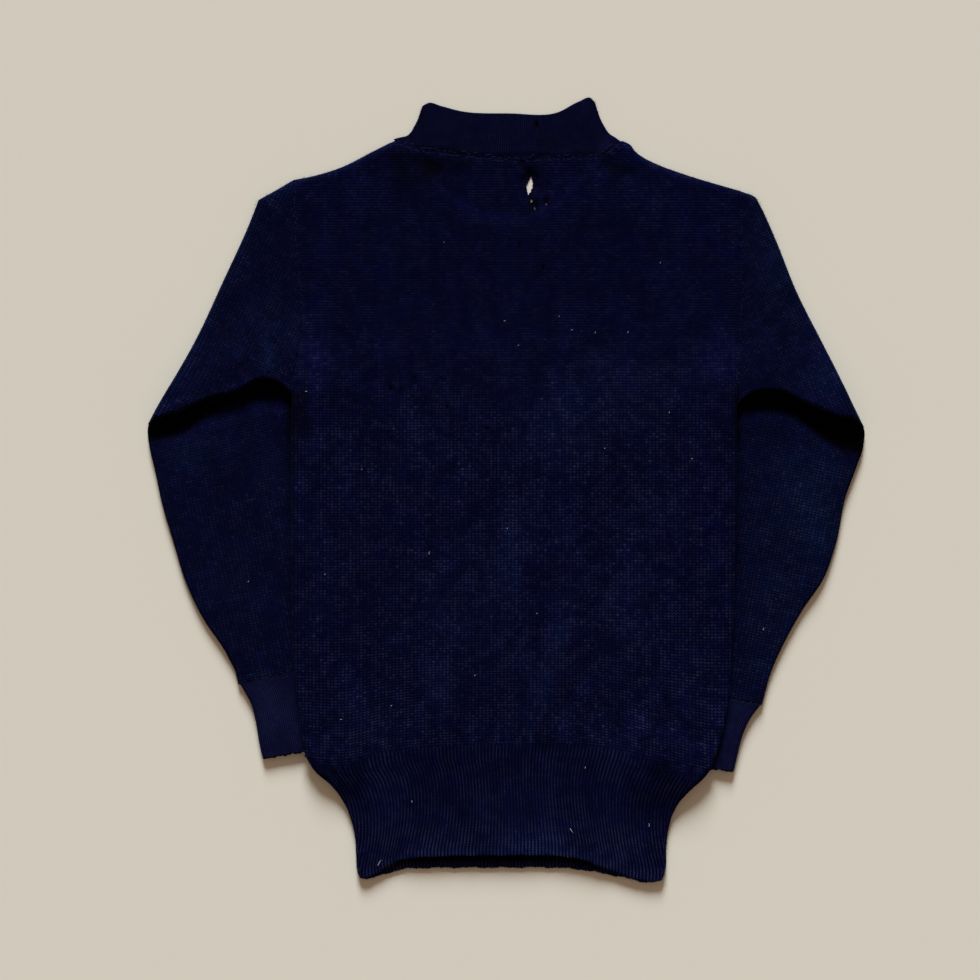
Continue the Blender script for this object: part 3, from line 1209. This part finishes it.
left_cloth, left_area, left_low_top, left_up_top = make_sleeve("sleeve_left_cloth", -1)
right_cloth, right_area, right_low_top, right_up_top = make_sleeve("sleeve_right_cloth", 1)

# ---------------------------------------------------------------- collar
FRONT_MIDDLE = RIB_WALL / 2
BACK_MIDDLE = UPPER + RIB_WALL / 2
SIDE_TURN = (UPPER + RIB_WALL) / 2
collar_u = np.linspace(0, 1, COLLAR_RIBS * 6 + 1)
collar_v = np.concatenate([[0.0, 0.02, 0.05], np.linspace(0.09, 0.93, 20), [0.965, 0.985, 1.0]])
to_middle = (1 - 2 * collar_u)[:, None] ** 3 * np.array([[1.7, 0.0]])
seam = beside(curve(columns_of(COLLAR_BACK, 1, 2), collar_u), -0.5) + to_middle
top = curve(columns_of(COLLAR_BACK, 3, 4), collar_u) + to_middle
ends = shares_of(columns_of(COLLAR_ENDS, 1, 2))
collar_left = curve(columns_of(COLLAR_ENDS, 1, 2), collar_v) + to_middle[0]
collar_right = curve(columns_of(COLLAR_ENDS, 3, 4), collar_v) + to_middle[-1]
collar_left[0], collar_left[-1] = seam[0], top[0]
collar_right[0], collar_right[-1] = seam[-1], top[-1]
neck_front = front_neck(collar_u)
front_seam = beside(neck_front, 0.2)
front_seam[0], front_seam[-1] = seam[0], seam[-1]
into_neck = beside(neck_front, COLLAR_HEIGHT)
blend = smooth(np.minimum(collar_u, 1 - collar_u) / 0.22)[:, None]
corner = np.where((collar_u < 0.5)[:, None], top[0], top[-1])
front_top_line = into_neck * blend + corner * (1 - blend)
collar_back = patch(seam, top, collar_left, collar_right, collar_u, collar_v)
collar_front = patch(front_seam, front_top_line, collar_left, collar_right, collar_u, collar_v)
collar = Cloth()
x, y = collar_back[..., 0], collar_back[..., 1]
puff = 0.7 * np.sin(math.pi * collar_v)[:, None] * smooth(np.minimum(collar_u, 1 - collar_u) / 0.1)[None]
collar_turns = tube(
    collar, collar_back, collar_front,
    BACK_MIDDLE - sag(x, y) + 0.4 * rolling(2 * x, 2 * y) + puff + creased(x, y, COLLAR_CREASES),
    np.full(collar_front.shape[:2], FRONT_MIDDLE), COLLAR_RIBS, 2, COLLAR_RIDGE, None,
    [0, 3, 7, 11, 15, 19, 23, 24, 25], open_row=-1, rows_knit=collar_v * 44 / 2.2, sharp=2.0,
)


def collar_traits(x, y, z):
    pit = np.exp(-(((x - 30.4) / 1.9) ** 2 + ((y - 354) / 2.6) ** 2))
    return {"dark": 0.97 * pit, "crisp": 0.55 + 0 * x}


collar_cloth = collar.build("collar_cloth", collar_wool, collar_turns, collar_traits)

# ---------------------------------------------------------------- hem rib
hem_u = np.linspace(0, 1, HEM_RIBS * 6 + 1)
hem_v = np.concatenate([[0.0, 0.006, 0.016, 0.04, 0.07], np.linspace(0.11, 0.94, 20), [0.97, 0.988, 1.0]])
spread = 0.5 + 0.38 * (2 * hem_u - 1) + 0.12 * (2 * hem_u - 1) ** 3
hem_high = curve(columns_of(RIB_SEAM, 1, 2), spread) + [0, 0.4]
hem_high[:, 0] += np.sign(0.5 - hem_u) * 1.2 * smooth(np.abs(2 * hem_u - 1) * 12 - 11)
ragged = (
    0.45 * np.sin(hem_u * 61 + 1.0) + 0.3 * np.sin(hem_u * 143 + 0.4) + 0.2 * np.sin(hem_u * 307)
    + 0.25 * np.sin(hem_u * HEM_RIBS * 2 * math.pi)
)
hem_halves = []
for edge_place, phase in ((3, 1.0), (2, -1.0)):
    left = curve(columns_of(HEM_SIDES, 1, 2)[::-1] + [SIDE_TURN, 0], hem_v)
    right = curve(columns_of(HEM_SIDES, 3, 4)[::-1] - [SIDE_TURN, 0], hem_v)
    low = curve(columns_of(HEM_EDGE, 1, edge_place), hem_u)
    low[:, 1] += phase * ragged * (0.6 if phase > 0 else 1) * smooth(np.minimum(hem_u, 1 - hem_u) / 0.04)
    left[-1], right[-1], low[0], low[-1] = hem_high[0], hem_high[-1], left[0], right[0]
    hem_halves.append(patch(low, hem_high, left, right, hem_u, hem_v))
hem_back, hem_front = hem_halves
x, y = hem_back[..., 0], hem_back[..., 1]
start_of_ribs = columns_of(RIB_START, 1, 2)


def below_start(x, y):
    """How far a point is below the line where the ribs begin."""
    uneven = 2.2 * np.sin(x / 5.1) + 1.6 * np.sin(x / 2.3 + 1)
    return np.interp(x, start_of_ribs[:, 0], start_of_ribs[:, 1]) + uneven - y


def hem_ridge(x, y):
    return HEM_RIDGE * smooth(below_start(x, y) / 16 + 0.15)


top_row = hem_back[-1]
seam_rise = back_top(top_row[:, 0], top_row[:, 1], (top_row[:, 0] - BODY_START) / WALE)
seam_rise = seam_rise - ride(top_row[:, 0], top_row[:, 1]) - BACK_MIDDLE - RIB_WALL / 2
mouth = np.exp(-hem_v / 0.2)[:, None] * smooth(np.minimum(hem_u - 0.10, 0.86 - hem_u) / 0.12)[None]
sway = 0.5 * rolling(1.6 * x, y) + 0.55 * gathers(x, 2 * rib_seam[:, 1].mean() - y)
hem = Cloth()
hem_turns = tube(
    hem, hem_back, hem_front,
    ride(x, y) + BACK_MIDDLE + 3.0 * mouth + sway * smooth((1 - hem_v) / 0.12)[:, None]
    + seam_rise[None] * smooth((hem_v - 0.7) / 0.3)[:, None],
    ride(hem_front[..., 0], hem_front[..., 1]) + FRONT_MIDDLE,
    HEM_RIBS, 2, hem_ridge, None, [0, 1, 2, 3, 4, 6, 9, 13, 18, 23, 26, 27],
    open_row=0, rows_knit=hem_v * 118 / 2.35, crowd=0.18,
)


def hem_traits(x, y, z):
    edge = columns_of(HEM_EDGE, 1, 2, 3)
    up = y - np.interp(x, edge[:, 0], edge[:, 1])
    up_back = y - np.interp(x, edge[:, 0], edge[:, 2])
    open_ = smooth((0.5 - np.abs((x - 4) / 250)) / 0.08)
    under = smooth((z - 1.0) / 0.8) * (z < 4.4) * open_
    return {
        "dark": 0.97 * under * smooth((up - 6.2) / 1.8),
        "faded": 0.9 * under * smooth((7 - up) / 3) + 0.4 * (z > 4.4) * smooth((12 - up_back) / 9),
        "crisp": 0.6 + 0.3 * smooth((-310 - y) / 40) + (4.0 + 1.5 * np.sin(x / 6.3 + np.sin(x / 17))) * under * smooth((7 - up) / 3) + 0.9 * (z > 4.4) * smooth((13 - up_back) / 9),
    }


hem_cloth = hem.build("hem_rib_cloth", hem_wool, hem_turns, hem_traits,
                      lambda x, y: below_start(x, y) < 0)

# ---------------------------------------------------------------- cuffs
cuffs = []
for cuff_name, table in (("cuff_left_cloth", CUFF_LEFT), ("cuff_right_cloth", CUFF_RIGHT)):
    us = np.linspace(0, 1, CUFF_RIBS * 6 + 1)
    vs = np.concatenate([[0.0], np.linspace(0.04, 0.93, 15), [0.97, 0.988, 1.0]])
    rows = columns_of(table, 1, 2, 3, 4)
    outer, inner = curve(rows[:, :2], vs), curve(rows[:, 2:], vs)
    if outer[0, 0] > inner[0, 0]:
        outer, inner = inner, outer
    ahead = (inner - outer) / np.linalg.norm(inner - outer, axis=1)[:, None]
    start, stop = outer + ahead * SIDE_TURN, inner - ahead * SIDE_TURN
    plan = start[:, None] + (stop - start)[:, None] * us[None, :, None]
    lip = 0.5 * np.sin(us * 37 + 1) + 0.35 * np.sin(us * 91)
    plan[-1, :, 1] += lip * smooth(np.minimum(us, 1 - us) / 0.1)
    level = np.zeros(plan.shape[:2])
    x, y = plan[..., 0], plan[..., 1]
    made = Cloth()
    edge_x = np.interp(y, side_left[:, 1], side_left[:, 0]) if table is CUFF_LEFT else np.interp(
        y, side_right[:, 1], side_right[:, 0])
    shown = smooth((np.abs(x) - np.abs(edge_x)) / 10)
    cuff_turns = tube(
        made, plan, plan, level + BACK_MIDDLE + shown * (0.5 * rolling(3 * x, 2 * y) + 0.5 * np.sin(math.pi * vs)[:, None]),
        level + FRONT_MIDDLE, CUFF_RIBS, 2, CUFF_RIDGE, None, [0, 4, 8, 12, 16, 17, 18],
        open_row=-1, rows_knit=vs * 70 / 2.3, sharp=2.2,
    )
    cuffs.append((made.build(cuff_name, cuff_wool, cuff_turns), 2 * area_of(plan)))

# ---------------------------------------------------------------- loose fibres, threads and lint
def back_z(x, y):
    return back_top(np.atleast_1d(x), np.atleast_1d(y), np.zeros(np.size(x)))


class Strands:
    """Fine loose fibres as narrow ribbons."""

    def __init__(self):
        self.points, self.faces = [], []

    def add(self, root, way, length, width, curl, steps=3):
        way = np.asarray(way, float)
        way = way / np.linalg.norm(way)
        side = np.cross(way, [0.0, 0.0, 1.0])
        if np.linalg.norm(side) < 0.2:
            side = np.array([1.0, 0.0, 0.0])
        side = side / np.linalg.norm(side)
        here = np.asarray(root, float)
        first = len(self.points)
        for k in range(steps + 1):
            taper = 1 - 0.7 * k / steps
            self.points += [here - side * width / 2 * taper, here + side * width / 2 * taper]
            here = here + way * length / steps
            way = way + np.asarray(curl) / steps
            way = way / np.linalg.norm(way)
        for k in range(steps):
            a = first + 2 * k
            self.faces.append([a, a + 1, a + 3, a + 2])

    def build(self, name, material):
        mesh = bpy.data.meshes.new(name)
        placed = (np.array(self.points) + [ORIGIN[0], ORIGIN[1], 0]) * 0.001
        placed[:, 2] = np.maximum(placed[:, 2], 0.00002)
        mesh.from_pydata(placed.tolist(), [], self.faces)
        mesh.materials.append(material)
        made = bpy.data.objects.new(name, mesh)
        bpy.context.scene.collection.objects.link(made)
        return made


fuzz = Strands()


def fringe(line, z, count, longest, outward):
    """Fibres that stand out from an edge. outward is 1 for the line's left side, -1 for its right."""
    line = dense(line, 400)
    along = np.gradient(line, axis=0)
    along /= np.linalg.norm(along, axis=1)[:, None]
    normal = np.stack([-along[:, 1], along[:, 0]], 1) * outward
    for _ in range(count):
        i = int(chance.integers(2, 398))
        spread_ = chance.normal(0, 0.8)
        way = [*(normal[i] + along[i] * spread_), chance.normal(0.0, 0.35)]
        height = z * chance.uniform(0.25, 1.0)
        root = [*(line[i] - normal[i] * 0.8), max(height, 0.4)]
        fuzz.add(root, way, chance.uniform(0.8, longest), chance.uniform(0.10, 0.2),
                 [chance.normal(0, 0.9), chance.normal(0, 0.9), chance.normal(0.1, 0.3)])


fringe(columns_of(UPPER_LEFT, 1, 2), 5.5, 420, 3.4, -1)
fringe(columns_of(UPPER_RIGHT, 1, 2), 5.5, 420, 3.4, 1)
fringe(columns_of(FOREARM_LEFT[2:], 1, 2), 5.5, 330, 2.8, -1)
fringe(columns_of(FOREARM_RIGHT[2:], 1, 2), 5.5, 330, 2.8, 1)
fringe(columns_of(SHOULDER_LEFT, 1, 2), 5.5, 220, 3.2, 1)
fringe(columns_of(SHOULDER_RIGHT, 1, 2), 5.5, 240, 3.2, 1)
fringe(columns_of(COLLAR_BACK, 3, 4), 4.5, 160, 2.0, 1)
fringe(columns_of(COLLAR_ENDS, 1, 2), 4.5, 70, 2.2, 1)
fringe(columns_of(COLLAR_ENDS, 3, 4), 4.5, 70, 2.2, -1)
fringe(columns_of(HEM_SIDES, 1, 2), 5.5, 160, 2.0, -1)
fringe(columns_of(HEM_SIDES, 3, 4), 5.5, 160, 2.0, 1)
fringe(columns_of(HEM_EDGE, 1, 2), 2.6, 520, 2.8, -1)
fringe(columns_of(HEM_EDGE, 1, 3), 8.0, 420, 2.4, -1)
fringe(columns_of(CUFF_LEFT, 1, 2), 5.0, 90, 1.8, -1)
fringe(columns_of(CUFF_RIGHT, 1, 2), 5.0, 90, 1.8, 1)
spots = np.stack([chance.uniform(-195, 215, 2600), chance.uniform(-240, 310, 2600)], 1)
for (x, y), z in zip(spots, back_z(spots[:, 0], spots[:, 1])):
    way = [chance.normal(), chance.normal(), 0.18]
    fuzz.add([x, y, z - 0.05], way, chance.uniform(1.0, 3.4), chance.uniform(0.06, 0.13),
             [chance.normal(0, 1.2), chance.normal(0, 1.2), -0.3], 3)
fuzz_material = plain("loose_fibre", (0.010, 0.011, 0.040), 0.9)
fuzz_made = fuzz.build("loose_fibres", fuzz_material)

# Light lint on the cloth: x, y, length, direction in degrees
LINT = [
    (-74.2, -62.1, 2.6, 80), (-175.1, -81.5, 1.2, 30), (-1.5, 163.9, 1.8, 20), (63.5, 155.2, 1.8, 10),
    (86.8, 152.3, 1.5, 60), (118.8, 152.3, 1.8, 80), (158.6, 74.7, 1.6, 60), (1.5, -37.8, 1.4, 70),
    (-249.8, -89.2, 1.6, 50), (249.8, -135.8, 2.2, 70), (-159.6, -222.1, 1.7, 20),
    (-111.1, -209.5, 1.5, 50), (77.1, -269.7, 2.0, 70), (-90.7, -302.6, 2.0, 85),
    (-123.7, -363.8, 6.5, 65), (62.6, -327.9, 5.0, -60), (139.2, -326.0, 3.2, 80),
    (-193.5, 95.1, 1.8, 20), (12.0, 140.0, 1.2, 40),
    (52.0, 168.0, 1.1, 60), (-30.0, -180.0, 1.3, 30), (180.0, 30.0, 1.4, 50),
    (-140.0, 20.0, 1.1, 10), (30.0, -120.0, 1.2, 45), (96.0, 40.0, 1.0, 70),
    (-60.0, 240.0, 1.0, 20), (150.0, 220.0, 1.1, 60),
]
# Finer threads, no paler than the worn wool: the same columns
THREADS = [
    (-216.0, 112.0, 4.5, 95), (-217.5, 116.0, 3.0, 100), (-207.0, 115.0, 4.6, 75), (-208.5, 120.0, 2.6, 60),
    (-190.0, 83.0, 3.0, -20), (-206.0, 134.0, 2.6, 5), (-214.0, 129.0, 2.4, 170), (-318.0, 84.5, 3.4, 30),
    (-315.0, 85.0, 2.6, 120), (-264.0, 100.0, 3.0, 60), (-261.0, 101.5, 2.6, 150), (-244.0, 110.0, 2.4, 20),
    (-199.0, 88.0, 3.2, -60), (-197.0, 84.0, 2.4, 30), (126.0, -268.5, 12.0, -8), (137.0, -270.5, 10.0, -18),
    (166.5, -283.0, 6.5, 40), (168.0, -286.5, 6.0, 50), (-151.0, -272.0, 4.2, -70), (-156.0, -268.5, 3.0, -60),
    (226.0, 112.0, 3.0, 80), (231.0, 118.0, 2.6, 100), (303.0, 90.0, 2.6, -40), (103.0, 326.0, 5.0, 20),
    (110.0, 330.0, 4.0, 60), (-1.0, 259.0, 1.6, 80), (-150.0, 96.0, 2.2, 10), (-135.0, 100.0, 1.8, 160),
]
lint = Strands()
lint_x, lint_y = columns_of(LINT, 0, 1).T
lint_heights = [f(lint_x, lint_y, 0 * lint_x) for f in (left_up_top, left_low_top, right_up_top, right_low_top)]
lint_body = back_z(lint_x, lint_y)
for n, (x, y, length, angle) in enumerate(LINT):
    a = math.radians(angle)
    z = lint_body[n] if y > -240 else 8.0
    if x < -206:
        z = lint_heights[0 if y > 105 else 1][n]
    if x > 226:
        z = lint_heights[2 if y > 100 else 3][n]
    lint.add([x, y, z + 0.35], [math.cos(a), math.sin(a), 0.05], length, 0.5,
             [chance.normal(0, 0.5), chance.normal(0, 0.5), -0.1])
thread_x, thread_y = columns_of(THREADS, 0, 1).T
thread_heights = [f(thread_x, thread_y, 0 * thread_x) for f in (left_up_top, left_low_top, right_up_top, right_low_top)]
thread_body = back_z(thread_x, thread_y)
lint_made = lint.build("lint", plain("pale_lint", (0.42, 0.38, 0.34)))

# Threads of the seams, a little paler than the wool: line, height, count, length, side step
seams = Strands()
for n, (x, y, length, angle) in enumerate(THREADS):
    a = math.radians(angle)
    z = thread_body[n] if y > -240 else 8.0
    if x < -206:
        z = thread_heights[0 if y > fold_y(FOLD_LEFT, x) else 1][n]
    if x > 226:
        z = thread_heights[2 if y > fold_y(FOLD_RIGHT, x) else 3][n]
    seams.add([x, y, z + 0.3], [math.cos(a), math.sin(a), 0.02], length, 0.42,
              [chance.normal(0, 0.5), chance.normal(0, 0.5), -0.05], 4)


def stitches(line, height, count, length, off, jitter=0.3, lean=0.0):
    line = dense(line, 400)
    along = np.gradient(line, axis=0)
    along /= np.linalg.norm(along, axis=1)[:, None]
    normal = np.stack([-along[:, 1], along[:, 0]], 1)
    picked = np.clip(2 + 396 * (np.arange(count) + chance.uniform(-0.3, 0.3, count)) / count, 2, 397)
    picked = picked[chance.random(count) > 0.3].astype(int)
    spots = line[picked] + normal[picked] * (off + chance.normal(0, jitter, len(picked)))[:, None]
    for i, spot, z in zip(picked, spots, height(spots)):
        way = along[i] + normal[i] * (lean + chance.normal(0, 0.25))
        seams.add([*spot, z], [*way, 0.03], length * chance.uniform(0.6, 1.3), chance.uniform(0.4, 0.65),
                  [chance.normal(0, 0.3), chance.normal(0, 0.3), -0.1])


def near_back(spots):
    return back_z(spots[:, 0], spots[:, 1]) + 0.35


def on_wrist(spots):
    return np.full(len(spots), PAIR + 0.9)


stitches(columns_of(COLLAR_BACK, 1, 2), near_back, 70, 3.0, -1.4)
stitches(columns_of(COLLAR_BACK, 1, 2), lambda spots: near_back(spots) + 0.5, 46, 3.4, 2.2, 0.7)
stitches(armhole_left, near_back, 60, 2.2, -1.2, 0.8, 0.6)
stitches(armhole_right, near_back, 60, 2.2, 1.2, 0.8, 0.6)
stitches(np.array([[-258, -187.4], [-207, -175.2]]), on_wrist, 22, 2.6, 0.6, 0.4)
stitches(np.array([[247, -207.2], [215, -201.0]]), on_wrist, 13, 2.6, 0.6, 0.4)
stitches(np.array([[-255, -191.4], [-209, -179.8]]), on_wrist, 18, 2.0, 0.0, 0.4)
seams_made = seams.build("seam_threads", plain("seam_thread", (0.013, 0.014, 0.045)))

# ---------------------------------------------------------------- what each piece is
for piece, node, slot in (
    (back_cloth, "back_panel", "body_knit"), (front_cloth, "front_panel", "body_knit"),
    (left_cloth, "sleeve_left", "sleeve_knit"), (right_cloth, "sleeve_right", "sleeve_knit"),
    (collar_cloth, "collar", "collar_rib"), (hem_cloth, "hem_rib", "hem_rib"),
    (cuffs[0][0], "cuff_left", "cuff_rib"), (cuffs[1][0], "cuff_right", "cuff_rib"),
):
    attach(piece, "root")
    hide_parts(node)
for piece in (fuzz_made, lint_made, seams_made):
    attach(piece, "root")

# ---------------------------------------------------------------- floor, light, camera
bpy.ops.mesh.primitive_plane_add(size=5, location=(0, 0, -0.0004))
floor = bpy.context.object
floor.name = "floor"
floor.data.materials.append(plain("pale_floor", (0.625, 0.585, 0.510), 1.0))


window = bpy.data.lights.new("window", "SUN")
window.energy = 6.8
window.angle = 0.36
window.color = (0.86, 0.95, 1.0)
window_made = bpy.data.objects.new("window", window)
window_made.rotation_euler = Vector((0.05, -1.0, -0.394)).to_track_quat("-Z", "Y").to_euler()
bpy.context.scene.collection.objects.link(window_made)

world = bpy.data.worlds.new("room")
world.use_nodes = True
world.node_tree.nodes["Background"].inputs["Color"].default_value = (1.0, 0.74, 0.55, 1)
world.node_tree.nodes["Background"].inputs["Strength"].default_value = 0.33
bpy.context.scene.world = world

camera_data = bpy.data.cameras.new("camera")
camera_data.sensor_width = 36.0
distance = 2.3
camera_data.lens = 36.0 * (distance - 0.006) / 0.9506
camera_data.clip_end = 20
camera = bpy.data.objects.new("camera", camera_data)
camera.location = (-0.0155, -0.0002, distance)
bpy.context.scene.collection.objects.link(camera)
bpy.context.scene.camera = camera
bpy.context.scene.view_settings.view_transform = "Standard"
bpy.context.scene.view_settings.look = "None"
